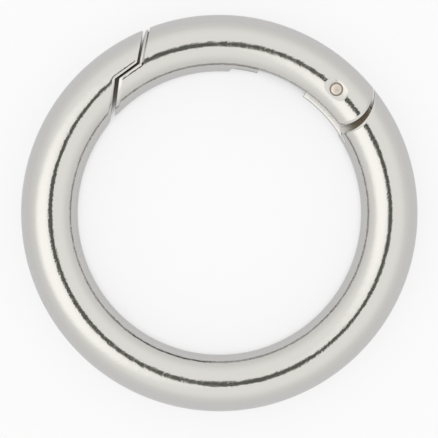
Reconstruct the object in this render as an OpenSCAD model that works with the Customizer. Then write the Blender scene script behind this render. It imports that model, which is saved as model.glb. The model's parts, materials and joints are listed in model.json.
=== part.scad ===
// Round spring-gate ring. A cast, C-shaped ring is closed by a hinged gate, and a small
// compression spring in the gate's pocket holds it shut. The ring lies flat with its centre
// at the origin, the hinge pin stands along Z, and the gate swings inwards, into the eye.

/* [Ring] */
// Clear diameter of the eye
eye_d = 25; // [22:0.5:40]
// Diameter of the round section
wire_d = 5; // [4.6:0.1:6.5]

/* [Hinge] */
// Where the hinge pin stands on the ring, in degrees from +X
pivot_a = 46.6; // [40:0.2:56]
// Diameter of the hinge pin
pin_d = 1.2; // [1:0.05:1.4]
// Running play around the pin in the ring's tongue
pin_play = 0.04; // [0.02:0.01:0.08]
// How far the ears' round end reaches past the wire's radius
ear_over = 0.77; // [0.6:0.01:1.2]
// Mean gap between the ears' end and the ring's hollow shoulder
shoulder_gap = 0.2; // [0.15:0.01:0.4]
// How far the shoulder's hollow is set back from the gate
shoulder_back = 0.24; // [0.1:0.01:0.4]
// How far the shoulder's hollow is shifted towards the eye
shoulder_in = 0.35; // [0.2:0.01:0.4]
// Thickness of the ring's tongue, between the ears
tongue_t = 2.2; // [1.8:0.05:2.4]
// Play on each face of the tongue
tongue_play = 0.1; // [0.05:0.01:0.2]
// Radius of the tongue's round boss
boss_r = 1.3; // [1.1:0.05:1.4]
// Play between the boss and the back of the pocket
boss_play = 0.1; // [0.08:0.01:0.2]
// How far the tongue's edge lies below the ring's inner surface
tongue_inset = 0.15; // [0.1:0.01:0.3]

/* [Pin heads] */
// Diameter of the flat land that is sunk around each pin head
land_d = 2; // [1.7:0.05:2.4]
// Depth of the land below the wire's crest
land_depth = 0.17; // [0.12:0.01:0.25]
// How far the land's wall flares out
land_flare = 0.2; // [0.05:0.01:0.3]
// How far the pin's dome stands above the land
pin_proud = 0.11; // [0.04:0.01:0.12]
// Height of the dome itself
pin_dome = 0.08; // [0.04:0.01:0.15]

/* [Nose] */
// Where the outer cut starts, on the ring's centre line
lip_a = 118.5; // [112:0.5:124]
// Where the inner cut ends, on the ring's centre line
nose_a = 127.2; // [124.4:0.2:132]
// Width of the outer cut
outer_gap = 0.21; // [0.18:0.01:0.3]
// Width of the sloping cut, where the gate's nose comes to its stop
seat_gap = 0.16; // [0.1:0.01:0.25]
// How far inside the ring's centre line the slope ends, where the inner cut starts
nose_drop = 0.13; // [0:0.01:0.25]
// Width of the inner cut
nose_gap = 0.34; // [0.2:0.01:0.45]
// Lean of the outer cut from the nose's path
outer_lean = 3; // [2:0.5:5]
// Lean of the inner cut from the nose's path
nose_lean = 4.3; // [2:0.1:6]
// Radius of the nose's tip, seen from above
nose_round = 0.4; // [0.2:0.05:0.8]
// Radius of the lip's tip, seen from above
lip_round = 0.2; // [0.1:0.05:0.4]

/* [Spring] */
// Outer diameter of the spring
spring_d = 2; // [1.6:0.05:2.2]
// Diameter of its wire
spring_wire = 0.4; // [0.3:0.02:0.44]
// Length of the spring with the gate shut
spring_len = 6.6; // [6:0.1:7]
// Open turns between the two closed ends
spring_turns = 5; // [4:0.5:6]
// Distance from the pin's axis to the spring's line
spring_arm = 0.65; // [0.5:0.05:0.8]
// Lean of the spring's line from the ring's tangent at the pin
spring_tilt = 10; // [8:0.5:12]
// Distance from the pin's axis to the tongue's heel, along the spring
heel_reach = 2.1; // [1.9:0.05:2.2]
// Room left at each end of the spring
spring_play = 0.03; // [0.02:0.01:0.1]
// Radius in the corners of the pocket's end
pocket_round = 0.5; // [0.3:0.05:0.8]
// Radius of the rounding that the broken edges along the pocket's mouth stand for
mouth_round = 0.3; // [0.1:0.05:0.4]

/* [Hidden] */
$fn = 128;
wire_r = wire_d / 2;
ring_r = eye_d / 2 + wire_r;
ear_r = wire_r + ear_over;
shoulder_r = ear_r + shoulder_gap;
slot_w = tongue_t + 2 * tongue_play;
floor_r = ring_r + boss_r + boss_play;
tongue_in_r = eye_d / 2 + tongue_inset;
pocket_u = heel_reach + spring_len + 2 * spring_play;
short_u = pocket_u - pocket_round;
mouth_y = slot_w / 2 + mouth_round;
mouth_c = [ring_r - sqrt(pow(wire_r - mouth_round, 2) - pow(mouth_y, 2)), mouth_y];
reach = 2 * wire_d;
eps = 0.05;
nickel = [0.80, 0.79, 0.77];
pin_metal = [0.72, 0.68, 0.64];
spring_steel = [0.55, 0.55, 0.57];

// The point at radius r and angle a
function polar(r, a) = [r * cos(a), r * sin(a)];
// Where two lines meet, each given by a point and a direction
function meet(p, a, q, b) =
    p + polar(((q.x - p.x) * sin(b) - (q.y - p.y) * cos(b)) / sin(b - a), a);
// The angle that a length takes up on the ring's centre line
function arc_a(length) = length / ring_r * 180 / PI;

pivot = polar(ring_r, pivot_a);

// The Z-shaped cut runs down an outer leg, a slope and an inner leg. The legs follow the
// path of the nose about the pin, less a lean that keeps the gate clear as it opens.
lip_p = polar(ring_r, lip_a);
nose_p = polar(ring_r - nose_drop, nose_a);
function path_a(p) = atan2(p.y - pivot.y, p.x - pivot.x) - 90;
outer_a = path_a(lip_p) - outer_lean;
inner_a = path_a(nose_p) - nose_lean;
slope_a = atan2(nose_p.y - lip_p.y, nose_p.x - lip_p.x);

// Points on each edge of the cut, on the gate's side (1) or the ring's (-1)
function outer_p(side) = lip_p + polar(side * outer_gap / 2, outer_a - 90);
function slope_p(side) = lip_p + polar(side * seat_gap / 2, slope_a + 90);
function inner_p(side) = nose_p + polar(side * nose_gap / 2, inner_a - 90);
function lip_corner(side) = meet(outer_p(side), outer_a, slope_p(side), slope_a);
function nose_corner(side) = meet(slope_p(side), slope_a, inner_p(side), inner_a);

// Carries its children to the pin: X along the ring towards the gate, Y into the eye
module at_hinge() translate(pivot) rotate(pivot_a + 90) children();

// Carries its children to the spring's own direction at the pin
module along_spring() at_hinge() rotate(spring_tilt) children();

// A stretch of the round ring between two angles
module wire_arc(a0, a1)
    rotate(a0) rotate_extrude(angle = a1 - a0) translate([ring_r, 0]) circle(r = wire_r);

// A flat shape made as thick as is asked, about the ring's mid plane
module slab(t) linear_extrude(t, center = true) children();

// A rounded corner between two edges, as the ends of its arc with the arc's centre between
function blunt(p, r, a, b) = let (half = abs(b - a) / 2)
    [p + polar(r / tan(half), a), p + polar(r / sin(half), (a + b) / 2), p + polar(r / tan(half), b)];
nose_arc = blunt(nose_corner(1), nose_round, slope_a + 180, inner_a - 180);
lip_arc = blunt(lip_corner(-1), lip_round, outer_a, slope_a + 360);

// All that lies past one edge of the Z-shaped cut, seen from above
module past_cut(side) {
    corners = side > 0 ? concat([lip_corner(1)], nose_arc) : concat(lip_arc, [nose_corner(-1)]);
    outer_end = lip_corner(side) + polar(reach, outer_a);
    inner_end = nose_corner(side) - polar(reach, inner_a);
    away = -side * [reach, 0];
    difference() {
        polygon(concat([outer_end], corners, [inner_end, inner_end + away, outer_end + away]));
        if (side > 0) translate(nose_arc[1]) circle(r = nose_round);
        else translate(lip_arc[1]) circle(r = lip_round);
    }
}

// The tongue seen from above: a boss about the pin, a heel for the spring, and the root
module tongue_plan() {
    heel_top = [heel_reach, -heel_reach * sin(spring_tilt)];
    heel_d = norm(heel_top);
    tangent_a = atan2(heel_top.y, heel_top.x) - acos(boss_r / heel_d);
    intersection() {
        difference() {
            circle(r = ring_r + boss_r);
            circle(r = tongue_in_r);
        }
        union() {
            at_hinge() circle(r = boss_r);
            along_spring() polygon([
                [0, 0], polar(boss_r, tangent_a), heel_top, [heel_reach, reach], [0, reach]
            ]);
            at_hinge() translate([-reach, -wire_r]) square([reach, wire_r + reach]);
        }
    }
}

// The room that the ring leaves for the gate's ears, around the tongue
module ear_room() difference() {
    slab(reach) {
        at_hinge() translate([-shoulder_back, shoulder_in]) {
            circle(r = shoulder_r);
            translate([0, -shoulder_r]) square([reach, 2 * shoulder_r]);
        }
    }
    slab(tongue_t) tongue_plan();
}

// What is taken off along the pocket's mouth, seen in the wire's section: it widens from the
// pocket's wall to the wire's skin, along the chord of the rounding that it stands for
module mouth_plan() {
    wall = [mouth_c.x, slot_w / 2];
    skin = [ring_r, 0] + (mouth_c - [ring_r, 0]) * wire_r / (wire_r - mouth_round);
    past = wall + 1.5 * (skin - wall);
    inner_r = ring_r - wire_d;
    polygon([
        [wall.x, -wall.y], wall, past, [inner_r, past.y], [inner_r, -past.y], [past.x, -past.y]
    ]);
}

// The broken edges along the pocket's mouth, from the hinge's end to near the pocket's end
module pocket_mouth() rotate(pivot_a - arc_a(wire_d))
    rotate_extrude(angle = arc_a(wire_d + short_u)) mouth_plan();

// Where the spring and the tongue lie inside the gate: a slot that opens into the eye
module pocket() intersection() {
    cylinder(r = floor_r, h = reach, center = true);
    along_spring() {
        narrow_w = slot_w - 2 * pocket_round;
        translate([-reach, -reach, -slot_w / 2]) cube([reach + short_u, 2 * reach, slot_w]);
        translate([0, -reach, -narrow_w / 2]) cube([pocket_u, 2 * reach, narrow_w]);
        for (side = [-1, 1])
            translate([short_u, 0, side * narrow_w / 2]) rotate([90, 0, 0])
                cylinder(r = pocket_round, h = 2 * reach, center = true);
    }
}

// The sunk land around one pin head
module pin_land() at_hinge() translate([0, 0, wire_r - land_depth])
    cylinder(d1 = land_d, d2 = land_d + 2 * land_flare * (1 + eps / land_depth),
             h = land_depth + eps);

module ring_body() color(nickel) difference() {
    wire_arc(lip_a - arc_a(wire_d), 360 + pivot_a + arc_a(wire_r + ear_over));
    slab(reach) past_cut(-1);
    ear_room();
    at_hinge() cylinder(r = pin_d / 2 + pin_play, h = reach, center = true);
}

module gate() color(nickel) difference() {
    wire_arc(pivot_a - arc_a(wire_d), nose_a + arc_a(wire_d));
    slab(reach) past_cut(1);
    slab(reach) at_hinge() difference() {
        translate([-reach, -reach]) square([reach, 2 * reach]);
        circle(r = ear_r);
    }
    pocket();
    pocket_mouth();
    at_hinge() cylinder(d = pin_d, h = reach, center = true);
    for (side = [0, 1]) mirror([0, 0, side]) pin_land();
}

module hinge_pin() color(pin_metal) {
    half = wire_r - land_depth + pin_proud;
    dome_r = (pow(pin_d / 2, 2) + pow(pin_dome, 2)) / (2 * pin_dome);
    at_hinge() intersection() {
        cylinder(d = pin_d, h = 2 * half, center = true);
        for (side = [0, 1]) mirror([0, 0, side]) translate([0, 0, half - dome_r]) sphere(r = dome_r);
    }
}

// The spring's helix, counted in turns. Its first and last turns are closed up.
closed_pitch = 1.1 * spring_wire;
open_pitch = (spring_len - spring_wire - 2 * closed_pitch) / spring_turns;
coil_r = (spring_d - spring_wire) / 2;
function coil_z(turn) = spring_wire / 2
    + closed_pitch * (min(turn, 1) + max(turn - 1 - spring_turns, 0))
    + open_pitch * min(max(turn - 1, 0), spring_turns);
// A point on the wire's skin, at an angle about the wire
function coil_point(turn, a) = let (q = polar(coil_r + spring_wire / 2 * cos(a), 360 * turn))
    [q.x, q.y, coil_z(turn) + spring_wire / 2 * sin(a)];

module gate_spring() color(spring_steel) {
    sides = 8;
    per_turn = 20;
    rings = per_turn * (spring_turns + 2);
    points = [
        for (i = [0:rings], k = [0:sides - 1]) coil_point(i / per_turn, 360 * k / sides)
    ];
    walls = [
        for (i = [0:rings - 1], k = [0:sides - 1])
            let (a = i * sides + k, b = i * sides + (k + 1) % sides)
            for (face = [[a, b + sides, b], [a, a + sides, b + sides]]) face
    ];
    ends = [[for (k = [0:sides - 1]) k], [for (k = [sides - 1:-1:0]) rings * sides + k]];
    along_spring() translate([heel_reach + spring_play, spring_arm, 0]) rotate([0, 90, 0])
        polyhedron(points, concat(walls, ends));
}

ring_body();
gate();
hinge_pin();
gate_spring();
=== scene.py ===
# %% [markdown]
# # A round spring gate ring, finished in Blender
#
# The ring is a cast, C-shaped piece of zinc with a hinged gate across its gap, and both are
# plated with bright nickel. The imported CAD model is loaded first, as a fixed frame. Each piece
# is then modelled or finished around it, in metres and in the same place.

import json
import math

import bmesh
import bpy
from mathutils import Matrix, Vector


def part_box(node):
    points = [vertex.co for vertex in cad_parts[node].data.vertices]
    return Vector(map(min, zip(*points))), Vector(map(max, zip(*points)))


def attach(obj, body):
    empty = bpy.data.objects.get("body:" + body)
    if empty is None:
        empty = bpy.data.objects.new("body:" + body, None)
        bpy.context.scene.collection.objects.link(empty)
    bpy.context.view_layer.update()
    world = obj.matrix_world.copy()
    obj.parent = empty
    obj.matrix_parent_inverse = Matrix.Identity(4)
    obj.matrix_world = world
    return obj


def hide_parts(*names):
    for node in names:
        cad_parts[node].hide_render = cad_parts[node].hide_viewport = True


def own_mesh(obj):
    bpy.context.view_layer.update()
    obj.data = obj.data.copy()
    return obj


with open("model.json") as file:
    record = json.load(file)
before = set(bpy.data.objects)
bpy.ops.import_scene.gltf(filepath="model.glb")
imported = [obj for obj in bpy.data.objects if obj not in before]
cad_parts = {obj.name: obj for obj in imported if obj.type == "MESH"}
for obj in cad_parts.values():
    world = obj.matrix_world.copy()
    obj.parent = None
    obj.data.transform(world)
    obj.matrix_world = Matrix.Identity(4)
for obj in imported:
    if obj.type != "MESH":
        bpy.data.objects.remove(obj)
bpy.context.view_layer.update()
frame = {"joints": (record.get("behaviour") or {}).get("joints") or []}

# %% [markdown]
# ## Sizes
#
# The frame tells most of the sizes. The ring's body reaches its outer radius at -X, and half
# its height is the wire's radius. The joint says where the hinge pin stands. The pieces are
# modelled in millimetres, and each finished mesh is scaled to metres.

# %% Read the driving sizes from the frame, in millimetres
MM = 0.001
ring_low, ring_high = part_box("ring_body")
pin_low, pin_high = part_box("hinge_pin")
WIRE_R = ring_high.z / MM
RING_R = -ring_low.x / MM - WIRE_R
PIVOT = Vector(frame["joints"][0]["pos_m"][:2]) / MM
PIN_R = (pin_high.x - pin_low.x) / 2 / MM
PIN_TOP = pin_high.z / MM
print(f"wire radius {WIRE_R:.2f}, ring's centre line {RING_R:.2f}, pin's radius {PIN_R:.2f}, "
      f"pin at {PIVOT.x:.2f}, {PIVOT.y:.2f}")

# %% [markdown]
# ## The camera
#
# The camera looks straight down on the ring from far away, as a long lens on a copy stand
# does, so that the round section looks the same all the way round.

# %% Set up the camera
CAMERA_HEIGHT = 1.0
CAMERA_CENTRE = (-0.0265 * MM, -0.525 * MM)
VIEW_WIDTH = 38.66 * MM
SENSOR = 36.0
CLIP_START = 0.01
camera = bpy.data.objects.new("camera", bpy.data.cameras.new("camera"))
bpy.context.scene.collection.objects.link(camera)
camera.location = (*CAMERA_CENTRE, CAMERA_HEIGHT)
camera.data.sensor_width = SENSOR
camera.data.lens = SENSOR * CAMERA_HEIGHT / VIEW_WIDTH
camera.data.clip_start = CLIP_START
bpy.context.scene.camera = camera
bpy.context.scene.view_settings.view_transform = "Standard"
print(f"camera {CAMERA_HEIGHT} m up, lens {camera.data.lens:.0f} mm")

# %% [markdown]
# ## Helpers for node trees
#
# Every finish here is a small tree of nodes. `add` makes one node and sets its inputs, either
# to a value or to the output of an earlier node, so that a tree reads from top to bottom.

# %% Helpers for node trees
def add(tree, kind, settings=None, **inputs):
    """A new node. Inputs go by name, with _ for a space, or by number, as i0 and i1."""
    node = tree.nodes.new(kind)
    for name, value in (settings or {}).items():
        setattr(node, name, value)
    for name, value in inputs.items():
        key = int(name[1:]) if name[0] == "i" and name[1:].isdigit() else name.replace("_", " ")
        if isinstance(value, bpy.types.NodeSocket):
            tree.links.new(value, node.inputs[key])
        else:
            node.inputs[key].default_value = value
    return node


def maths(tree, operation, *values, clamp=False):
    inputs = {f"i{k}": value for k, value in enumerate(values)}
    settings = {"operation": operation, "use_clamp": clamp}
    return add(tree, "ShaderNodeMath", settings, **inputs).outputs[0]


def blank(name):
    """A new material with an empty tree."""
    material = bpy.data.materials.new(name)
    material.use_nodes = True
    material.node_tree.nodes.clear()
    return material, material.node_tree


SMOOTH, COLOURS = {"interpolation_type": "SMOOTHSTEP"}, {"data_type": "RGBA"}
print("helpers for node trees: add, maths and blank")

# %% [markdown]
# ## The light
#
# Polished metal has no look of its own: it shows what stands round it. Here that is a white
# light tent, brightest overhead, with one broad soft lamp behind its left side and a dark
# hole at the top for the camera. The hole's reflection is the dark line that runs along
# the crest of the wire. The tent is the world itself, so it has no edges and no noise.

# %% Directions and soft cones in the world
def direction(azimuth, from_vertical):
    """A unit vector from its azimuth and its angle from straight up, in degrees."""
    a, v = math.radians(azimuth), math.radians(from_vertical)
    return math.sin(v) * math.cos(a), math.sin(v) * math.sin(a), math.cos(v)


world = bpy.data.worlds.new("light_tent")
bpy.context.scene.world = world
world.use_nodes = True
tree = world.node_tree
tree.nodes.clear()
look = add(tree, "ShaderNodeTexCoord").outputs["Generated"]


def cone(azimuth, from_vertical, radius, soft):
    """1 inside a cone of directions, 0 outside it, with a soft edge; all in degrees."""
    dot = add(tree, "ShaderNodeVectorMath", {"operation": "DOT_PRODUCT"}, i0=look,
              i1=direction(azimuth, from_vertical)).outputs["Value"]
    return add(tree, "ShaderNodeMapRange", SMOOTH, Value=dot,
               From_Min=math.cos(math.radians(radius + soft / 2)),
               From_Max=math.cos(math.radians(radius - soft / 2))).outputs["Result"]


print("straight up is", [round(c, 3) for c in direction(0, 0)])

# %% [markdown]
# The hole isn't round: three discs that overlap give the line its changing width. The lamp and
# each disc are given by azimuth, angle from straight up, radius and soft edge, in degrees.

# %% The tent, its lamp and its dark hole
TENT_TOP, TENT_RIM = 1.16, 0.93
TOP_FROM, RIM_BELOW = 0.8, 0.1
TENT_TINT = (1.0, 0.99, 0.95)
LAMP, LAMP_GAIN = (195, 32, 20, 28), 0.37
HOLE_DISCS = (280, 9.7, 5.2, 1.2), (10, 5.2, 7.3, 1.2), (248, 3.1, 4.4, 1.2)
HOLE_LIGHT = (0.135, 0.14, 0.118, 1)
height = add(tree, "ShaderNodeSeparateXYZ", i0=look).outputs["Z"]
tent = add(tree, "ShaderNodeMapRange", SMOOTH, Value=height, From_Min=RIM_BELOW,
           From_Max=TOP_FROM, To_Min=TENT_RIM, To_Max=TENT_TOP).outputs["Result"]
lit = maths(tree, "ADD", tent, maths(tree, "MULTIPLY", cone(*LAMP), LAMP_GAIN))
hole = cone(*HOLE_DISCS[0])
for disc in HOLE_DISCS[1:]:
    hole = maths(tree, "MAXIMUM", hole, cone(*disc))
warm = add(tree, "ShaderNodeVectorMath", {"operation": "SCALE"}, i0=TENT_TINT,
           Scale=lit).outputs[0]
tent_color = add(tree, "ShaderNodeMix", COLOURS, i0=hole, i6=warm,
                 i7=HOLE_LIGHT).outputs[2]
glow = add(tree, "ShaderNodeBackground", Color=tent_color, Strength=1.0)
add(tree, "ShaderNodeOutputWorld", Surface=glow.outputs[0])
print("light tent:", TENT_TOP, "overhead,", TENT_RIM, "at its rim")

# %% [markdown]
# ## The floor
#
# The ring lies on a matt white board. Part of the board's brightness is its own light, for the
# rays that see it, so that the shadow stays faint. The board gives this light only where it is
# open to the tent above. Under the wire it has just a faint brown glow, so that the narrow
# cuts stay dark, and when the gate swings away the board below it turns white again.

# %% White board
FLOOR_SIZE = 1.2
FLOOR_WHITE = (0.75, 0.76, 0.79, 1)
FLOOR_GLOW, FLOOR_GLOSS = 0.8, 0.2
OPEN_GLOW, UNDER_GLOW = (1, 1, 1, 1), (0.06, 0.047, 0.036, 1)
OPEN_REACH = 8 * MM
OPEN_FROM, OPEN_FULL = 0.25, 0.5
board, tree = blank("white_board")
paths = add(tree, "ShaderNodeLightPath").outputs
seen = maths(tree, "ADD", paths["Is Camera Ray"], paths["Is Transmission Ray"], clamp=True)
mirrored = maths(tree, "MULTIPLY", paths["Is Glossy Ray"], FLOOR_GLOSS)
seen = maths(tree, "MULTIPLY_ADD", seen, FLOOR_GLOW, mirrored)
sky = add(tree, "ShaderNodeAmbientOcclusion", {"samples": 16},
          Distance=OPEN_REACH).outputs["AO"]
clear = add(tree, "ShaderNodeMapRange", SMOOTH, Value=sky,
            From_Min=OPEN_FROM, From_Max=OPEN_FULL).outputs["Result"]
tone = add(tree, "ShaderNodeMix", COLOURS, i0=clear, i6=UNDER_GLOW, i7=OPEN_GLOW).outputs[2]
matt = add(tree, "ShaderNodeBsdfDiffuse", Color=FLOOR_WHITE)
glow = add(tree, "ShaderNodeEmission", Color=tone, Strength=1.0)
mixed = add(tree, "ShaderNodeMixShader", i0=seen, i1=matt.outputs[0], i2=glow.outputs[0])
add(tree, "ShaderNodeOutputMaterial", Surface=mixed.outputs[0])
bpy.ops.mesh.primitive_plane_add(size=FLOOR_SIZE, location=(0, 0, ring_low.z))
floor = bpy.context.object
floor.name = "floor"
floor.data.materials.append(board)
print("floor at", round(ring_low.z / MM, 2), "mm")

# %% [markdown]
# ## Bright nickel
#
# Nickel is a warm, light grey mirror. The casting under the plating isn't quite smooth, so the
# mirror ripples: small waves bend the crest's dark line, and a fine orange peel breaks up its
# edges. Both are noise on the object's own coordinates, bent into the normal by `Bump`.

# %% Bright nickel: waves and orange peel
WAVE_SCALE, WAVE_HEIGHT = 1300.0, 1.2e-5
PEEL_SCALE, PEEL_HEIGHT = 5200.0, 7e-6
bright_nickel, tree = blank("bright_nickel")
where = add(tree, "ShaderNodeTexCoord").outputs["Object"]
waves = add(tree, "ShaderNodeTexNoise", Vector=where, Scale=WAVE_SCALE, Detail=1.0).outputs[0]
peel = add(tree, "ShaderNodeTexNoise", Vector=where, Scale=PEEL_SCALE, Detail=3.0).outputs[0]
wavy = add(tree, "ShaderNodeBump", Strength=1.0, Distance=WAVE_HEIGHT, Height=waves)
rough = add(tree, "ShaderNodeBump", Strength=1.0, Distance=PEEL_HEIGHT, Height=peel,
            Normal=wavy.outputs[0])
print(f"waves {WAVE_HEIGHT / MM:.3f} mm high, orange peel {PEEL_HEIGHT / MM:.3f} mm")

# %% [markdown]
# A polishing wheel doesn't reach into the cuts. So the metal is duller a little below the
# wire's round skin, and deep down it is brown: partly grime, and partly painted shade that
# darkens the deep cuts. The depth is worked out from the wire's own shape: its radius less the
# distance from its centre line.

# %% Bright nickel: dull in the cuts, with grime and painted shade deep down
NICKEL = (0.610, 0.600, 0.588, 1)
# The brown below is partly grime and partly painted shade that darkens the deep cuts.
GRIME_AND_SHADE = (0.17, 0.14, 0.105, 1)
BRIGHT, DULL = 0.08, 0.36
DULL_FROM, DULL_FULL = 0.02 * MM, 0.20 * MM
GRIME_AND_SHADE_FROM, GRIME_AND_SHADE_FULL = 0.28 * MM, 1.25 * MM
flat = add(tree, "ShaderNodeVectorMath", {"operation": "MULTIPLY"}, i0=where,
           i1=(1, 1, 0)).outputs[0]
from_axis = add(tree, "ShaderNodeVectorMath", {"operation": "LENGTH"}, i0=flat).outputs["Value"]
height = add(tree, "ShaderNodeSeparateXYZ", i0=where).outputs["Z"]
from_ring = maths(tree, "SUBTRACT", from_axis, RING_R * MM)
section = add(tree, "ShaderNodeCombineXYZ", i0=from_ring, i1=height)
from_wire = add(tree, "ShaderNodeVectorMath", {"operation": "LENGTH"}, i0=section.outputs[0])
depth = maths(tree, "SUBTRACT", WIRE_R * MM, from_wire.outputs["Value"])
dull = add(tree, "ShaderNodeMapRange", SMOOTH, Value=depth, From_Min=DULL_FROM,
           From_Max=DULL_FULL, To_Min=BRIGHT, To_Max=DULL).outputs["Result"]
# This depth mask paints shade into the cuts, together with grime, deeper below the skin.
grime_and_shade = add(tree, "ShaderNodeMapRange", SMOOTH, Value=depth, From_Min=GRIME_AND_SHADE_FROM,
           From_Max=GRIME_AND_SHADE_FULL).outputs["Result"]
tone = add(tree, "ShaderNodeMix", COLOURS, i0=grime_and_shade, i6=NICKEL, i7=GRIME_AND_SHADE).outputs[2]
nickel = add(tree, "ShaderNodeBsdfPrincipled", Base_Color=tone, Metallic=1.0, Roughness=dull,
             Normal=rough.outputs[0])
add(tree, "ShaderNodeOutputMaterial", Surface=nickel.outputs[0])
print("bright nickel, base colour", NICKEL[:3])

# %% [markdown]
# ## How the pieces are modelled
#
# The ring and the gate are stretches of one round wire. Each starts as the wire's section,
# closed at the hinge end by rings of faces, and is spun about Z to the Z-shaped cut at the
# other end. Then each end is leaned along the ring until it meets its real outline, and its
# edges are rolled over. Spinning keeps the skin in clean rows, which is what a mirror finish
# needs. Cutting the wire with booleans would leave ragged rows at the cuts.

# %% Points and angles on the ring
def polar(r, degrees):
    a = math.radians(degrees)
    return Vector((r * math.cos(a), r * math.sin(a)))


def angle_of(p):
    return math.degrees(math.atan2(p.y, p.x))


def meet(p, a, q, b):
    """Where two lines meet, each given by a point and a direction in degrees."""
    u, v, w = polar(1, a), polar(1, b), q - p
    return p + u * (w.x * v.y - w.y * v.x) / (u.x * v.y - u.y * v.x)


def angle_on_line(p, a, r):
    """The polar angle at which the line through p, in direction a, crosses radius r."""
    along, across = polar(1, a), polar(1, a + 90)
    d = p.dot(across)
    s = math.copysign(math.sqrt(r * r - d * d), p.dot(along))
    return angle_of(across * d + along * s)


def angle_on_circle(centre, radius, r):
    """The polar angle at which a circle crosses radius r, on its side away from the gate."""
    far = centre.length
    cosine = (r * r + far * far - radius * radius) / (2 * r * far)
    return angle_of(centre) - math.degrees(math.acos(cosine))


print(f"the pin stands {angle_of(PIVOT):.1f} degrees round from +X")

# %% [markdown]
# ## The Z-shaped cut
#
# Between the ring's lip and the gate's nose runs a cut with three straight legs: an outer
# leg, a slope along the crest, and an inner leg. The outer and inner legs follow the nose's
# path round the pin, less a small lean that keeps the gate clear as it swings into the eye.
# Each piece has its own wall along each leg, and each wall's edge is rolled over in its own way.
# The walls and the cutting tools reach `BEYOND` the wire, so that they leave the metal.

# %% The Z-shaped cut, seen from above
LIP_A, NOSE_A = 118.5, 127.2
OUTER_GAP, SEAT_GAP, NOSE_GAP = 0.21, 0.16, 0.34
OUTER_LEAN, NOSE_LEAN = 3.0, 4.3
NOSE_DROP = 0.13
BEYOND = 2 * WIRE_R
lip_p, nose_p = polar(RING_R, LIP_A), polar(RING_R - NOSE_DROP, NOSE_A)
outer_a = angle_of(lip_p - PIVOT) - 90 - OUTER_LEAN
inner_a = angle_of(nose_p - PIVOT) - 90 - NOSE_LEAN
slope_a = angle_of(nose_p - lip_p)


def cut_walls(side, rolls):
    """The walls on the gate's side of the cut (1) or the ring's (-1), from the lip inwards.

    Each is its start, its end, the level direction into the metal and its edge's roll."""
    into = polar(side, outer_a - 90), polar(side, slope_a + 90), polar(side, inner_a - 90)
    outer = lip_p + into[0] * OUTER_GAP / 2
    slope = lip_p + into[1] * SEAT_GAP / 2
    inner = nose_p + into[2] * NOSE_GAP / 2
    lip, nose = meet(outer, outer_a, slope, slope_a), meet(slope, slope_a, inner, inner_a)
    ends = ((lip, lip + polar(BEYOND, outer_a)), (lip, nose),
            (nose, nose - polar(BEYOND, inner_a)))
    return [(*pair, inwards, roll) for pair, inwards, roll in zip(ends, into, rolls)]


print(f"outer leg {outer_a:.1f}, slope {slope_a:.1f} and inner leg {inner_a:.1f} degrees from +X")

# %% [markdown]
# ## A stretch of wire
#
# `capped_section` makes the round face at the hinge end: a circle with rings inset into it.
# `spin` then draws its rim round the ring. The face has rings so that it can bend into a hollow
# or a round end, and the outermost ring leaves room for the edge to be rolled over. The rows
# are spaced so that a whole number of them, `CUT_ROWS`, fits between the cut's two corners.

# %% A stretch of wire, spun from the hinge to the cut
SECTION = 64
CUT_ROWS = 6
STEP = (NOSE_A - LIP_A) / CUT_ROWS
CAP_RINGS = 5
CAP_RING = 0.45


def once(items):
    """The items in their order, each one once."""
    return list(dict.fromkeys(items))


def capped_section(bm, start):
    """The wire's section at an angle, filled by rings of faces, and its rim's edges."""
    place = Matrix.Rotation(math.radians(start), 4, "Z") @ Matrix.Translation((RING_R, 0, 0)) \
        @ Matrix.Rotation(math.pi / 2, 4, "X")
    bmesh.ops.create_circle(bm, cap_ends=True, segments=SECTION, radius=WIRE_R, matrix=place)
    (face,) = bm.faces
    for _ in range(CAP_RINGS):
        bmesh.ops.inset_individual(bm, faces=[face], thickness=CAP_RING, use_even_offset=True)
    return [e for e in bm.edges if e.is_boundary]


def spun_wire(start, stop):
    """The wire from a capped start to an open stop, in rows one STEP apart."""
    bm = bmesh.new()
    rim = capped_section(bm, start)
    ends = once(v for e in rim for v in e.verts)
    bmesh.ops.spin(bm, geom=ends + rim, axis=(0, 0, 1), cent=(0, 0, 0),
                   angle=math.radians(stop - start), steps=round(abs(stop - start) / STEP))
    return bm


def ring_angle(p, low):
    """A point's polar angle, counted on from a low angle in front of the stretch."""
    a = angle_of(p)
    return a if a > low else a + 360


row_mm = RING_R * math.radians(STEP)
print(f"rows {STEP:.2f} degrees or {row_mm:.2f} mm apart, each of {SECTION} vertices")

# %% [markdown]
# ## Leaning the ends onto their outlines
#
# Where an end's outline is a curve or a slant seen from above, a vertex at radius r belongs at
# the polar angle where that outline crosses radius r. The rows near the end share the shift,
# less and less, until the wire is undisturbed. Along the slope the crest's own vertices are
# set on the slope's line. At the round ends the first rows are also drawn together, where the
# rolled edge needs them.

# %% Lean one end onto the Z-shaped cut, and one onto a round outline
CALM_CUT = 25 * STEP
CALM_ROWS = 18
CLOSE_ROWS = (0, 0.02, 0.08, 0.16, 0.27, 0.42, 0.8)
TOUCH = 1e-3


def lean_to_cut(bm, side, low, walls):
    """Leans the open end of the gate (side 1) or of the ring (-1) onto the cut's walls."""
    lip, nose = walls[1][:2]
    for v in bm.verts:
        r, a = v.co.xy.length, ring_angle(v.co, low)
        crest = abs(r - RING_R) < TOUCH
        if crest and LIP_A - TOUCH < a < NOSE_A + TOUCH:
            v.co.xy = lip.lerp(nose, (a - LIP_A) / (NOSE_A - LIP_A))
            off = v.co.xy.length - RING_R
            v.co.z = math.copysign(math.sqrt(WIRE_R ** 2 - off ** 2), v.co.z)
            continue
        outer_half = r > RING_R if not crest else side > 0
        p, leg_a, edge_a = (lip, outer_a, LIP_A) if outer_half else (nose, inner_a, NOSE_A)
        away = side * (edge_a - a)
        if away < CALM_CUT:
            shift = (angle_on_line(p, leg_a, r) - edge_a) * (1 - away / CALM_CUT)
            v.co.xy = polar(r, a + shift)


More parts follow.
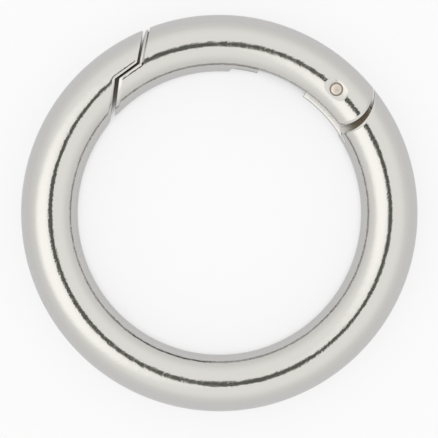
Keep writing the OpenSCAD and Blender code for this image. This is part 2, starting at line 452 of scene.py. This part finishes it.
def lean_to_round(bm, centre, radius, start, side, low):
    """Leans the capped end onto a circle, and draws its first rows together."""
    calm = CALM_ROWS * row_mm
    rows = len(CLOSE_ROWS) - 1
    for v in bm.verts:
        r = v.co.xy.length
        k = round(side * (ring_angle(v.co, low) - start) / STEP)
        if k < CALM_ROWS:
            away = CLOSE_ROWS[min(k, rows)]
            if k > rows:
                away += (calm - away) * (k - rows) / (CALM_ROWS - rows)
            target = angle_on_circle(centre, radius, r)
            target += 360 * round((start - target) / 360)
            v.co.xy = polar(r, start + side * math.degrees(away / RING_R)
                            + (target - start) * (1 - away / calm))


print(f"the lean fades out over {CALM_CUT:.0f} degrees at the cut, {CALM_ROWS} rows at the hinge")

# %% [markdown]
# ## Rolling the edges over
#
# Tumbling and plating leave every edge of the real castings softly rounded, and in a mirror
# finish these edges show as bright and dark lines. A roll is a profile of how far the skin is
# let down at each distance from the outline, both as shares of the roll's width. The skin moves
# only along the wall, so the cut keeps its width. Along the slope, where the edges rub when the
# gate shuts, they are worn into a longer, gentler roll. The gate's outer edge was trimmed
# first, which left a fine groove beside it. At the hinge the roll fades out towards the wire's
# outer skin, where the gap is a hairline.

# %% The rolls' profiles
ROLLED = ((0, 0.5), (0.06, 0.37), (0.35, 0.235), (0.6, 0.135), (0.82, 0.045), (1, 0))
WORN = ((0, 0.28), (0.06, 0.145), (0.2, 0.093), (0.4, 0.0454), (0.6, 0.0184), (0.8, 0.0042),
        (1, 0))
GROOVED = ((0, 0.55), (0.08, 0.42), (0.35, 0.34), (0.58, 0.33), (0.65, 0.95), (0.93, 0.95),
           (1, 0))


def let_down(profile, width, away):
    """How far the skin is let down at a distance from the outline."""
    x = away / width
    for (x0, y0), (x1, y1) in zip(profile, profile[1:]):
        if x < x1:
            return width * (y0 + (y1 - y0) * (x - x0) / (x1 - x0))
    return 0.0


print(f"a roll 0.5 mm wide starts {let_down(ROLLED, 0.5, 0):.2f} mm down, "
      f"a worn one {let_down(WORN, 0.5, 0):.2f} mm")

# %% [markdown]
# A roll needs rows of vertices where its profile bends. `bisect_plane` cuts them, but only
# through the faces near the wall, so that the rest of the skin keeps its clean rows.

# %% Cut the rows that a roll needs
ROLL_REACH = 0.9


def along_wall(a, b, p):
    """The nearest point to p on the wall from a to b, seen from above."""
    run = b - a
    return a + run * min(max((p - a).dot(run) / run.length_squared, 0), 1)


def cut_rows(bm, walls):
    """Cuts rows beside the walls, and returns how many vertices that made."""
    count = len(bm.verts)
    for a, b, inwards, (width, profile) in walls:
        for x, _ in profile[1:]:
            middles = [(f, f.calc_center_median().xy) for f in bm.faces]
            near = [f for f, p in middles if (along_wall(a, b, p) - p).length < ROLL_REACH]
            geom = near + once(e for f in near for e in f.edges)
            geom += once(v for f in near for v in f.verts)
            bmesh.ops.bisect_plane(bm, geom=geom, dist=TOUCH / 5, plane_no=(*inwards, 0),
                                   plane_co=(*(a + inwards * width * x), 0))
    return len(bm.verts) - count


print("rows are cut through faces within", ROLL_REACH, "mm of a wall")

# %% [markdown]
# Two helpers say what a roll does at a point beside the cut's walls or beside a round end: how
# far the skin is let down there, how far off the outline is, and in which direction. Where two
# walls meet, the deeper roll wins. Vertices near the outline are first set back exactly on the
# wire's round skin, which the lean and the new rows have left by a hair.

# %% Let the skin down beside an outline
SKIN_OFF, SET_BACK = 0.03, 1.0
OUTER_FADE = 1.0


def beside_walls(walls):
    """The helper for the cut's walls."""
    def beside(p):
        near = []
        for a, b, inwards, (width, profile) in walls:
            foot = along_wall(a, b, p)
            off, profile = p - foot, WORN if foot == a else profile
            across = off.normalized() if off.length > TOUCH else inwards
            near.append((let_down(profile, width, off.length), off.length, across))
        return max(near, key=lambda wall: (wall[0], -wall[1]))
    return beside


def beside_circle(centre, radius, width):
    """The helper for a round end."""
    def beside(p):
        off = p - centre
        away = abs(off.length - radius) if off.dot(along_ring) < 0 else radius
        share = min((RING_R + WIRE_R - p.length) / OUTER_FADE, 1)
        return let_down(ROLLED, width, away) * share, away, off.normalized()
    return beside


def roll_edges(bm, beside):
    """Lets the wire's skin down beside an outline, and returns how many vertices moved."""
    moved = 0
    for v in bm.verts:
        out = v.co - (v.co * Vector((1, 1, 0))).normalized() * RING_R
        if abs(out.length - WIRE_R) > SKIN_OFF:
            continue
        drop, away, across = beside(v.co.xy)
        if away < SET_BACK:
            v.co += out.normalized() * (WIRE_R - out.length)
        if drop > 0:
            out, across = out.normalized(), Vector((*across, 0))
            v.co -= (out - across * out.dot(across)).normalized() * drop
            moved += 1
    return moved


print("at the hinge a roll fades out over the outer", OUTER_FADE, "mm")

# %% [markdown]
# ## Closing the cut
#
# The walls of the cut are upright, and the wire is the same above and below. So each wall is a
# row of upright strips, between the rim's vertices above and the ones right below them. Seen
# from above, the tip of the lip and the tip of the nose are blunt.

# %% Close the cut with upright walls
TIP_REACH = 3


def close_cut(bm, walls, side, blunt):
    """Fills the gate's (side 1) or the ring's (-1) walls, and rounds the tip seen from above."""
    lip, nose = walls[1][:2]
    rim = [e for e in bm.edges if e.is_boundary]
    tops = [v for v in once(v for e in rim for v in e.verts) if v.co.z > TOUCH]
    lows = [v for v in once(v for e in rim for v in e.verts) if v.co.z < -TOUCH]
    uprights = []
    for v in tops:
        under = min(lows, key=lambda w: (w.co - v.co * Vector((1, 1, -1))).length)
        uprights.append(bm.edges.new((v, under)))
    bmesh.ops.edgenet_fill(bm, edges=rim + uprights)
    corner, a, b = nose, slope_a + 180, inner_a - 180
    if side < 0:
        corner, a, b = lip, outer_a, slope_a + 360
    half = math.radians(abs(b - a) / 2)
    centre = corner + polar(blunt / math.sin(half), (a + b) / 2)
    for v in bm.verts:
        off = v.co.xy - centre
        ahead = off.dot(polar(-1, (a + b) / 2)) > off.length * math.sin(half)
        if off.length > blunt and ahead and (v.co.xy - corner).length < TIP_REACH * blunt:
            v.co.xy = centre + off.normalized() * blunt
    return len(uprights)


print(f"walls are {2 * WIRE_R:.1f} mm high at the crest")

# %% [markdown]
# ## From a bmesh to a piece
#
# `as_object` scales a mesh to metres and wraps it in an object at the origin. `cut` joins or
# takes away another shape with an exact boolean, for the forms that aren't part of the wire.

# %% Objects and booleans
def as_object(name, bm):
    """A new object with a bmesh in millimetres as its mesh in metres."""
    bmesh.ops.scale(bm, vec=(MM, MM, MM), verts=bm.verts)
    mesh = bpy.data.meshes.new(name)
    bm.to_mesh(mesh)
    bm.free()
    piece = bpy.data.objects.new(name, mesh)
    bpy.context.scene.collection.objects.link(piece)
    return piece


def cut(piece, tool, operation="DIFFERENCE"):
    """Takes the tool's shape away from the piece, or joins it on, and removes the tool."""
    modifier = piece.modifiers.new("cut", "BOOLEAN")
    modifier.object = tool
    modifier.operation = operation
    modifier.solver = "EXACT"
    bpy.context.view_layer.update()
    result = piece.evaluated_get(bpy.context.evaluated_depsgraph_get())
    mesh = bpy.data.meshes.new_from_object(result)
    piece.modifiers.clear()
    piece.data = mesh
    print(tool.name, "cut from" if operation == "DIFFERENCE" else "joined to", piece.name)
    bpy.data.objects.remove(tool)


# %% [markdown]
# A mirror shows the smallest kink. `skin_normals` gives every corner that lies on the round
# wire the wire's own normal, so that reflections run on past the cuts undisturbed, and marks
# the real edges sharp. `finish` gives a piece its material, hangs it on the empty of the body
# it rides on and hides the frame's nodes that it replaces.

# %% Normals, and the last step of each piece
SHARP, SKIN_SHARP = math.radians(40), math.radians(15)
SKIN_NEAR, SKIN_FACING = 0.005, 0.97


def off_skin(co):
    """The direction out of the wire at a place, in millimetres, and how far off its skin it is."""
    out = co - (co * Vector((1, 1, 0))).normalized() * RING_R
    return out.normalized(), abs(out.length - WIRE_R)


def on_skin(co, normal):
    out, off = off_skin(co)
    return off < SKIN_NEAR and out.dot(normal) > SKIN_FACING


def skin_normals(piece):
    """Sets the normals of a finished piece, and returns how many follow the wire."""
    mesh = piece.data
    mesh.shade_smooth()
    bm = bmesh.new()
    bm.from_mesh(mesh)
    skin = {f: all(on_skin(v.co / MM, f.normal) for v in f.verts) for f in bm.faces}
    for e in bm.edges:
        a, b = e.link_faces
        e.smooth = e.calc_face_angle() < (SHARP if skin[a] == skin[b] else SKIN_SHARP)
    bm.to_mesh(mesh)
    bm.free()
    normals = [Vector(corner.vector) for corner in mesh.corner_normals]
    count = 0
    for face in mesh.polygons:
        for corner in face.loop_indices:
            co = mesh.vertices[mesh.loops[corner].vertex_index].co / MM
            if on_skin(co, face.normal):
                normals[corner] = off_skin(co)[0]
                count += 1
    mesh.normals_split_custom_set(normals)
    return count


def finish(piece, material, body, slot, *nodes):
    piece.data.materials.clear()
    piece.data.materials.append(material)
    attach(piece, body)
    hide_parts(*nodes)
    print(piece.name, "has", len(piece.data.polygons), "faces")


print(f"edges of more than {math.degrees(SHARP):.0f} degrees are sharp")

# %% [markdown]
# ## The ring
#
# At the hinge the ring ends in a hollow shoulder, set back round the gate's ears, with a flat
# tongue between them that carries the pin and stops the spring. The wire comes first: it is
# spun from the hinge back to the lip, and the inner half of its last rows is taken off, so that
# the lip is the outer half alone.

# %% The ring's wire
EAR_OVER, SHOULDER_GAP = 0.77, 0.2
EAR_R = WIRE_R + EAR_OVER
SHOULDER_R = EAR_R + SHOULDER_GAP
SHOULDER_BACK, SHOULDER_IN = 0.24, 0.41
RING_ROLLS = (0.22, ROLLED), (0.5, WORN), (0.25, ROLLED)
SHOULDER_ROLL, LIP_ROUND = 0.25, 0.2
RING_ROWS = 190
IN_FRONT = 20
HINGE_A = angle_of(PIVOT)
along_ring, into_eye = polar(1, HINGE_A + 90), polar(1, HINGE_A + 180)


def trim_step(bm, side, low):
    """Takes off the half of the wire that belongs to the other piece, between the cut's legs."""
    other = [f for f in bm.faces if (f.calc_center_median().xy.length - RING_R) * side > 0
             and LIP_A < ring_angle(f.calc_center_median(), low) < NOSE_A]
    bmesh.ops.delete(bm, geom=other, context="FACES")


ring_start = LIP_A + RING_ROWS * STEP
ring_low_a = LIP_A - IN_FRONT
bm = spun_wire(ring_start, LIP_A)
trim_step(bm, -1, ring_low_a)
walls = cut_walls(-1, RING_ROLLS)
lean_to_cut(bm, -1, ring_low_a, walls)
shoulder = PIVOT - along_ring * SHOULDER_BACK + into_eye * SHOULDER_IN
lean_to_round(bm, shoulder, SHOULDER_R, ring_start, -1, ring_low_a)
print("vertices in new rows:", cut_rows(bm, walls))
print("rolled at the cut:", roll_edges(bm, beside_walls(walls)),
      "and at the shoulder:", roll_edges(bm, beside_circle(shoulder, SHOULDER_R, SHOULDER_ROLL)))
print("upright strips:", close_cut(bm, walls, -1, LIP_ROUND))
ring = as_object("ring", bm)

# %% [markdown]
# ## Plates and bars
#
# The tongue, the pin's hole and the gate's pocket are flat or round forms of their own. A plate
# is an outline that is filled and pulled up to its thickness, and a bar is a plain cylinder.

# %% Plates and bars
AXIS = Vector((0, 0))
BAR_SIDES = 48


def arc(centre, r, a0, a1, steps):
    """Points on an arc from angle a0 to a1."""
    return [centre + polar(r, a0 + (a1 - a0) * k / steps) for k in range(steps + 1)]


def plate(outline, thickness, rounding=0.0):
    """A flat plate about the mid plane, from its outline seen from above."""
    bm = bmesh.new()
    face = bm.faces.new([bm.verts.new((p.x, p.y, -thickness / 2)) for p in outline])
    pulled = bmesh.ops.extrude_face_region(bm, geom=[face], use_keep_orig=True)["geom"]
    top = [v for v in pulled if isinstance(v, bmesh.types.BMVert)]
    bmesh.ops.translate(bm, vec=(0, 0, thickness), verts=top)
    bmesh.ops.recalc_face_normals(bm, faces=bm.faces)
    if rounding:
        rims = [e for e in bm.edges if abs(e.verts[0].co.z - e.verts[1].co.z) < TOUCH]
        bmesh.ops.bevel(bm, geom=rims, offset=rounding, affect="EDGES", segments=3, profile=0.5,
                        material=-1, clamp_overlap=True)
    return bm


def pin_bar(r):
    """A long bar along the pin's axis, as a tool for its holes."""
    bm = bmesh.new()
    bmesh.ops.create_cone(bm, cap_ends=True, segments=BAR_SIDES, radius1=r, radius2=r,
                          depth=2 * BEYOND, matrix=Matrix.Translation((*PIVOT, 0)))
    return as_object("pin_bar", bm)


print("a bar has", BAR_SIDES, "sides")

# %% [markdown]
# ## The tongue
#
# The tongue's outline is five stretches: an arc along the back of the pocket, a boss round the
# pin, the heel that the spring pushes on, an arc just under the wire's inner skin, and a root
# inside the shoulder. It is joined to the ring by a boolean, and then the pin's hole is cut.

# %% The ring's tongue
TONGUE_T = 2.2
BOSS_R = 1.3
TONGUE_INSET = 0.15
TONGUE_IN_R = RING_R - WIRE_R + TONGUE_INSET
SPRING_TILT = 10
HEEL_REACH = 2.1
ROOT_A = 29.0
TONGUE_ROUND = 0.12
PIN_PLAY = 0.04
spring_a = HINGE_A + 90 + SPRING_TILT
heel_drop = HEEL_REACH * math.sin(math.radians(SPRING_TILT))
heel_top = PIVOT + polar(HEEL_REACH, spring_a) - polar(heel_drop, spring_a + 90)
heel_far = (heel_top - PIVOT).length
boss_end = angle_of(heel_top - PIVOT) - math.degrees(math.acos(BOSS_R / heel_far))
heel_foot_a = angle_on_line(heel_top, spring_a - 90, TONGUE_IN_R)
outline = (arc(AXIS, RING_R + BOSS_R, ROOT_A, HINGE_A, 8)[:-1]
           + arc(PIVOT, BOSS_R, HINGE_A, boss_end, 6) + [heel_top]
           + arc(AXIS, TONGUE_IN_R, heel_foot_a, ROOT_A, 12))
cut(ring, as_object("tongue", plate(outline, TONGUE_T, TONGUE_ROUND)), "UNION")
cut(ring, pin_bar(PIN_R + PIN_PLAY))
print("corners with the wire's own normal:", skin_normals(ring))
finish(ring, bright_nickel, "ring", "plated_zinc", "ring_body")

# %% [markdown]
# ## The gate
#
# The gate's hinge end is round about the pin, so that it turns in the shoulder's hollow, and
# its other end is the nose: the inner half of the wire, which rests under the ring's lip.

# %% The gate's wire
GATE_ROLLS = (0.36, GROOVED), (0.5, WORN), (0.33, ROLLED)
EAR_ROLL, NOSE_ROUND = 0.26, 0.4
GATE_ROWS = 65
gate_start = NOSE_A - GATE_ROWS * STEP
gate_low_a = gate_start - IN_FRONT
bm = spun_wire(gate_start, NOSE_A)
trim_step(bm, 1, gate_low_a)
walls = cut_walls(1, GATE_ROLLS)
lean_to_cut(bm, 1, gate_low_a, walls)
lean_to_round(bm, PIVOT, EAR_R, gate_start, 1, gate_low_a)
print("vertices in new rows:", cut_rows(bm, walls))
print("rolled at the cut:", roll_edges(bm, beside_walls(walls)),
      "and at the ears:", roll_edges(bm, beside_circle(PIVOT, EAR_R, EAR_ROLL)))
print("upright strips:", close_cut(bm, walls, 1, NOSE_ROUND))
gate = as_object("gate_arm", bm)

# %% [markdown]
# The spring and the tongue lie in a pocket that opens into the eye. Its tool is a disc: it
# starts as a circle with the radius of the pocket's floor, is pulled up to the pocket's width,
# and is cut off square to the spring, with rounded corners, where the pocket ends.

# %% The gate's pocket
TONGUE_PLAY, BOSS_PLAY = 0.1, 0.1
POCKET_W = TONGUE_T + 2 * TONGUE_PLAY
FLOOR_R = RING_R + BOSS_R + BOSS_PLAY
SPRING_LEN = 6.6
SPRING_PLAY = 0.03
POCKET_END = HEEL_REACH + SPRING_LEN + 2 * SPRING_PLAY
POCKET_ROUND = 0.5
pocket_end = PIVOT + polar(POCKET_END, spring_a)
bm = plate(arc(AXIS, FLOOR_R, 0, 359, 359), POCKET_W)
everything = bm.verts[:] + bm.edges[:] + bm.faces[:]
halved = bmesh.ops.bisect_plane(bm, geom=everything, plane_co=(*pocket_end, 0),
                                plane_no=(*polar(1, spring_a), 0), clear_outer=True)
rim = [e for e in halved["geom_cut"] if isinstance(e, bmesh.types.BMEdge)]
bmesh.ops.contextual_create(bm, geom=rim)
bmesh.ops.recalc_face_normals(bm, faces=bm.faces)
ends = [e for e in rim if abs(e.verts[0].co.z - e.verts[1].co.z) < TOUCH]
bmesh.ops.bevel(bm, geom=ends, offset=POCKET_ROUND, affect="EDGES", segments=6, profile=0.5,
                material=-1)
cut(gate, as_object("pocket", bm))

# %% [markdown]
# The pocket's mouth, where it opens into the eye, has rounded long edges. The tool is a band:
# its half profile runs from the pocket's wall over a quarter of a circle to the wire's skin,
# where it meets the skin smoothly, and it is spun about Z for the length of the mouth.

# %% The pocket's mouth
MOUTH_ROUND, MOUTH_SIDES = 0.3, 8
MOUTH_SHORT, MOUTH_STEPS = 4.5, 48
OVER_SKIN = 0.2
mouth_z = POCKET_W / 2 + MOUTH_ROUND
skin_r = WIRE_R - MOUTH_ROUND
mouth_r = RING_R - math.sqrt(skin_r ** 2 - mouth_z ** 2)
skin_a = angle_of(Vector((mouth_r - RING_R, mouth_z)))
half = arc(Vector((mouth_r, mouth_z)), MOUTH_ROUND, 270, skin_a, MOUTH_SIDES)
half += [Vector((RING_R, 0)) + polar(WIRE_R + OVER_SKIN, skin_a),
         Vector((RING_R - BEYOND, mouth_z))]
band = [(p.x, p.y) for p in half] + [(p.x, -p.y) for p in reversed(half)]
mouth_start, mouth_end = gate_start - IN_FRONT, angle_of(pocket_end) - MOUTH_SHORT
turn = Matrix.Rotation(math.radians(mouth_start), 3, "Z")
bm = bmesh.new()
face = bm.faces.new([bm.verts.new(turn @ Vector((r, 0, z))) for r, z in band])
bmesh.ops.spin(bm, geom=[face], axis=(0, 0, 1), cent=(0, 0, 0), steps=MOUTH_STEPS,
               angle=math.radians(mouth_end - mouth_start))
bmesh.ops.holes_fill(bm, edges=[e for e in bm.edges if e.is_boundary])
bmesh.ops.recalc_face_normals(bm, faces=bm.faces)
cut(gate, as_object("mouth", bm))

# %% [markdown]
# Round each pin head a land is sunk into the ear. Its tool is a half profile, spun about the
# pin: a shallow cone, and then a flare that gets steeper up to the wire's skin.

# %% The lands round the pin heads
LAND_R, LAND_DEPTH = 1.0, 0.17
LAND_RISE = 0.15
FLARE = ((0, 0), (0.07, 0.025), (0.13, 0.065), (0.18, 0.115), (0.3, 0.25))


def turned(profile, steps=64):
    """A closed shape, turned about the pin from its half profile of radius and height."""
    bm = bmesh.new()
    line = [bm.verts.new((PIVOT.x + r, PIVOT.y, z)) for r, z in profile]
    edges = [bm.edges.new(pair) for pair in zip(line, line[1:])]
    bmesh.ops.spin(bm, geom=line + edges, axis=(0, 0, 1), cent=(*PIVOT, 0),
                   angle=2 * math.pi, steps=steps, use_merge=True)
    bmesh.ops.remove_doubles(bm, verts=bm.verts, dist=TOUCH / 10)
    bmesh.ops.recalc_face_normals(bm, faces=bm.faces)
    return bm


land_rim = WIRE_R - LAND_DEPTH + LAND_RISE / 2
flare = [(LAND_R + x, land_rim + y) for x, y in FLARE]
profile = [(0, land_rim - LAND_RISE)] + flare + [(flare[-1][0], BEYOND), (0, BEYOND)]
for up in (1, -1):
    cut(gate, as_object("land", turned([(r, up * z) for r, z in profile])))
cut(gate, pin_bar(PIN_R))
print("corners with the wire's own normal:", skin_normals(gate))
finish(gate, bright_nickel, "gate", "plated_zinc", "gate")

# %% [markdown]
# ## The hinge pin
#
# The pin is a plain steel bar, pressed through both ears. Its ends are left a little proud and
# are burnished to a low dome, so they show a duller, warmer face than the plating. The dark
# line round them, where the dome turns down, is painted shade: a darker ring in the colour.

# %% Burnished steel
PIN_STEEL = (0.66, 0.6, 0.54, 1)
# The dark rim colour below is painted shade round the pin's edge, where the dome turns down.
PIN_RIM_SHADE = (0.2, 0.17, 0.135, 1)
GRAIN_SCALE, GRAIN_HEIGHT = 6000.0, 4e-6
PIN_SMOOTH, PIN_ROUGH = 0.28, 0.42
RIM_SHADE_FROM, RIM_SHADE_FULL = (PIN_R - 0.17) * MM, (PIN_R - 0.02) * MM
RIM_SHADE_RAGGED = 0.08 * MM
burnished, tree = blank("burnished_steel")
where = add(tree, "ShaderNodeTexCoord").outputs["Object"]
grain = add(tree, "ShaderNodeTexNoise", Vector=where, Scale=GRAIN_SCALE, Detail=4.0).outputs[0]
dull = add(tree, "ShaderNodeMapRange", Value=grain, To_Min=PIN_SMOOTH,
           To_Max=PIN_ROUGH).outputs[0]
rough = add(tree, "ShaderNodeBump", Strength=1.0, Distance=GRAIN_HEIGHT, Height=grain)
middle = add(tree, "ShaderNodeMapping", Vector=where, Scale=(1, 1, 0),
             Location=(-PIVOT.x * MM, -PIVOT.y * MM, 0)).outputs[0]
radius = add(tree, "ShaderNodeVectorMath", {"operation": "LENGTH"}, i0=middle).outputs["Value"]
ragged = maths(tree, "MULTIPLY_ADD", grain, RIM_SHADE_RAGGED, radius)
# This mask paints the shade: the pin's colour turns dark towards its edge.
rim = add(tree, "ShaderNodeMapRange", SMOOTH, Value=ragged, From_Min=RIM_SHADE_FROM,
          From_Max=RIM_SHADE_FULL).outputs["Result"]
tone = add(tree, "ShaderNodeMix", COLOURS, i0=rim, i6=PIN_STEEL, i7=PIN_RIM_SHADE)
steel = add(tree, "ShaderNodeBsdfPrincipled", Base_Color=tone.outputs[2], Metallic=1.0,
            Roughness=dull, Normal=rough.outputs[0])
add(tree, "ShaderNodeOutputMaterial", Surface=steel.outputs[0])
print("burnished steel, base colour", PIN_STEEL[:3])

# %% [markdown]
# Both heads are alike, so the half profile of one is drawn from the axis out over the dome and
# the rounded edge, mirrored to the other end, and spun about the pin's axis.

# %% The hinge pin
PIN_EDGE, PIN_DOME = 0.07, 0.05
half = [(0, PIN_TOP), (PIN_R * 0.45, PIN_TOP - PIN_DOME * 0.2),
        (PIN_R - PIN_EDGE, PIN_TOP - PIN_DOME),
        (PIN_R - PIN_EDGE * 0.3, PIN_TOP - PIN_DOME * 1.4),
        (PIN_R, PIN_TOP - PIN_DOME - PIN_EDGE)]
pin = as_object("pin", turned(half + [(r, -z) for r, z in reversed(half)], BAR_SIDES))
pin.data.shade_smooth()
pin.data.set_sharp_from_angle(angle=SHARP)
finish(pin, burnished, "gate", "pin_steel", "hinge_pin")

# %% [markdown]
# ## The spring
#
# The compression spring pushes from the tongue's heel to the end of the gate's pocket, on the
# eye side of the pin, and so it holds the gate shut. Its drawn wire is plain steel, a little
# duller than the plating and with no colour of its own.

# %% Spring steel
SPRING_STEEL = (0.42, 0.42, 0.43, 1)
DRAWN_SCALE = 3500.0
SPRING_SMOOTH, SPRING_ROUGH = 0.22, 0.38
drawn_wire, tree = blank("drawn_spring_wire")
where = add(tree, "ShaderNodeTexCoord").outputs["Object"]
grain = add(tree, "ShaderNodeTexNoise", Vector=where, Scale=DRAWN_SCALE, Detail=3.0).outputs[0]
dull = add(tree, "ShaderNodeMapRange", Value=grain, To_Min=SPRING_SMOOTH,
           To_Max=SPRING_ROUGH).outputs[0]
steel = add(tree, "ShaderNodeBsdfPrincipled", Base_Color=SPRING_STEEL, Metallic=1.0,
            Roughness=dull)
add(tree, "ShaderNodeOutputMaterial", Surface=steel.outputs[0])
print("spring steel, base colour", SPRING_STEEL[:3])

# %% [markdown]
# A coil is a small circle spun about an axis while it moves along it: `dvec` is the move at
# each step. The end turns are closed up, with a pitch just over the wire's thickness. Each spin
# leaves its first face inside the wire, and these are deleted.

# %% Coil the spring
SPRING_D, SPRING_WIRE = 2.0, 0.4
OPEN_TURNS = 5
TURN_STEPS, WIRE_SIDES = 24, 12
CLOSED_SHARE = 1.1
closed_pitch = CLOSED_SHARE * SPRING_WIRE
open_pitch = (SPRING_LEN - SPRING_WIRE - 2 * closed_pitch) / OPEN_TURNS
bm = bmesh.new()
place = Matrix.Translation(((SPRING_D - SPRING_WIRE) / 2, 0, SPRING_WIRE / 2)) \
    @ Matrix.Rotation(math.pi / 2, 4, "X")
bmesh.ops.create_circle(bm, cap_ends=True, segments=WIRE_SIDES, radius=SPRING_WIRE / 2,
                        matrix=place)
geom = bm.faces[:]
for turns, pitch in ((1, closed_pitch), (OPEN_TURNS, open_pitch), (1, closed_pitch)):
    spun = bmesh.ops.spin(bm, geom=geom, axis=(0, 0, 1), cent=(0, 0, 0),
                          angle=2 * math.pi * turns, steps=TURN_STEPS * turns,
                          dvec=(0, 0, pitch / TURN_STEPS))
    geom = [g for g in spun["geom_last"] if isinstance(g, bmesh.types.BMFace)]
bmesh.ops.remove_doubles(bm, verts=bm.verts, dist=TOUCH)
inside = [f for f in bm.faces if all(len(e.link_faces) > 2 for e in f.edges)]
bmesh.ops.delete(bm, geom=inside, context="FACES_ONLY")
bmesh.ops.holes_fill(bm, edges=[e for e in bm.edges if e.is_boundary])
bmesh.ops.recalc_face_normals(bm, faces=bm.faces)
print(f"{OPEN_TURNS} open turns, {open_pitch:.2f} mm apart, and 2 closed ones")

# %% [markdown]
# The coil stands on its end at the origin, so it is laid down, turned to the spring's line and
# moved to the heel. It rides with the gate.

# %% Put the spring in the pocket
SPRING_ARM = 0.65
heel = PIVOT + polar(HEEL_REACH + SPRING_PLAY, spring_a) + polar(SPRING_ARM, spring_a + 90)
bmesh.ops.transform(bm, verts=bm.verts, matrix=Matrix.Translation((*heel, 0))
                    @ Matrix.Rotation(math.radians(spring_a), 4, "Z")
                    @ Matrix.Rotation(math.pi / 2, 4, "Y"))
spring = as_object("spring", bm)
spring.data.shade_smooth()
finish(spring, drawn_wire, "gate", "spring_steel", "gate_spring")
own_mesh(spring)
